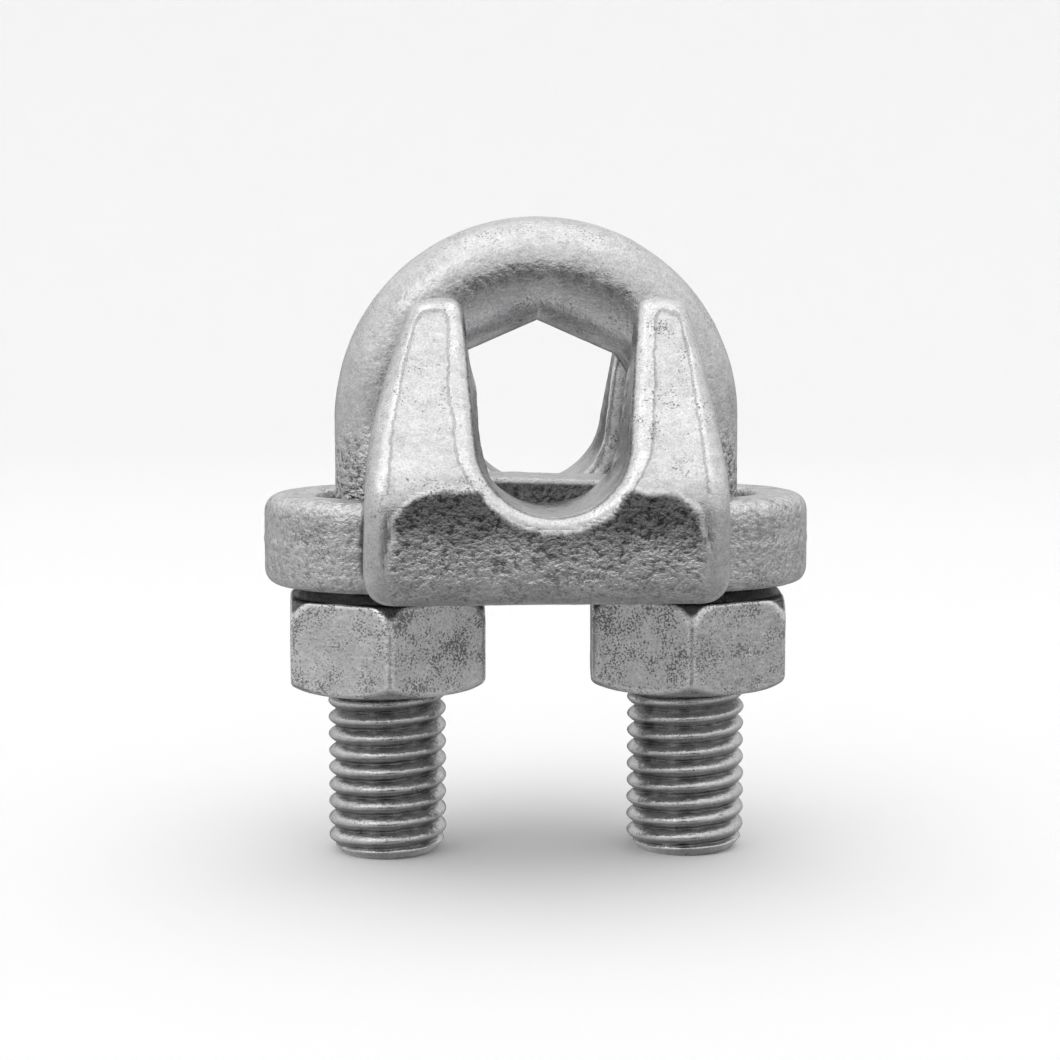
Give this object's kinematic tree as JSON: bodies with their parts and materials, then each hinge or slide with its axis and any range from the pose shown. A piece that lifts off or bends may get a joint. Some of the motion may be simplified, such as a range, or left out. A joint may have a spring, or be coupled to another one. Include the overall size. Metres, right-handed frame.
{
  "type": "wire rope clip",
  "caption": "Wire rope clip: a threaded U-bolt whose legs pass through a forged saddle with a ribbed rope seat and four horns, held by a hex nut on each leg.",
  "frame": {"origin": "midway between the two legs, in the U-bolt's own plane, level with the legs' end faces", "axes": "+Z along the legs, from their ends up to the bow; +Y along the rope's run through the clip; +X across the rope, from the left leg to the right leg"},
  "size_m": [0.073, 0.057, 0.0856],
  "materials": {
    "bar": "zinc-coated rolled bar, smooth bow, rolled threads, darker fine pitting on the legs",
    "forging": "zinc-coated drop forging, bright worn horns, rough pitted end faces",
    "nut": "satin zinc coating with fine dark speckle"
  },
  "bodies": {
    "u_bolt": {"u_bolt": "bar"},
    "saddle": {"saddle": "forging"},
    "nut_left": {"nut_left": "nut"},
    "nut_right": {"nut_right": "nut"}
  },
  "joints": [
    {"name": "saddle_slide", "type": "slide", "parent": "u_bolt", "child": "saddle", "axis": [0, 0, 1], "range_m": [-0.02078, 0.00346]},
    {"name": "nut_left_turn", "type": "hinge", "parent": "saddle", "child": "nut_left", "pos_m": [-0.0203, 0, 0.0296], "axis": [0, 0, 1], "range_deg": [-3240, 540]},
    {"name": "nut_right_turn", "type": "hinge", "parent": "saddle", "child": "nut_right", "pos_m": [0.0203, 0, 0.0296], "axis": [0, 0, 1], "range_deg": [-3240, 540]}
  ],
  "couplings": [
    {"joint": "nut_left_turn", "follows": "saddle_slide", "rad_per_m": 2721.1},
    {"joint": "nut_right_turn", "follows": "saddle_slide", "rad_per_m": 2721.1}
  ]
}
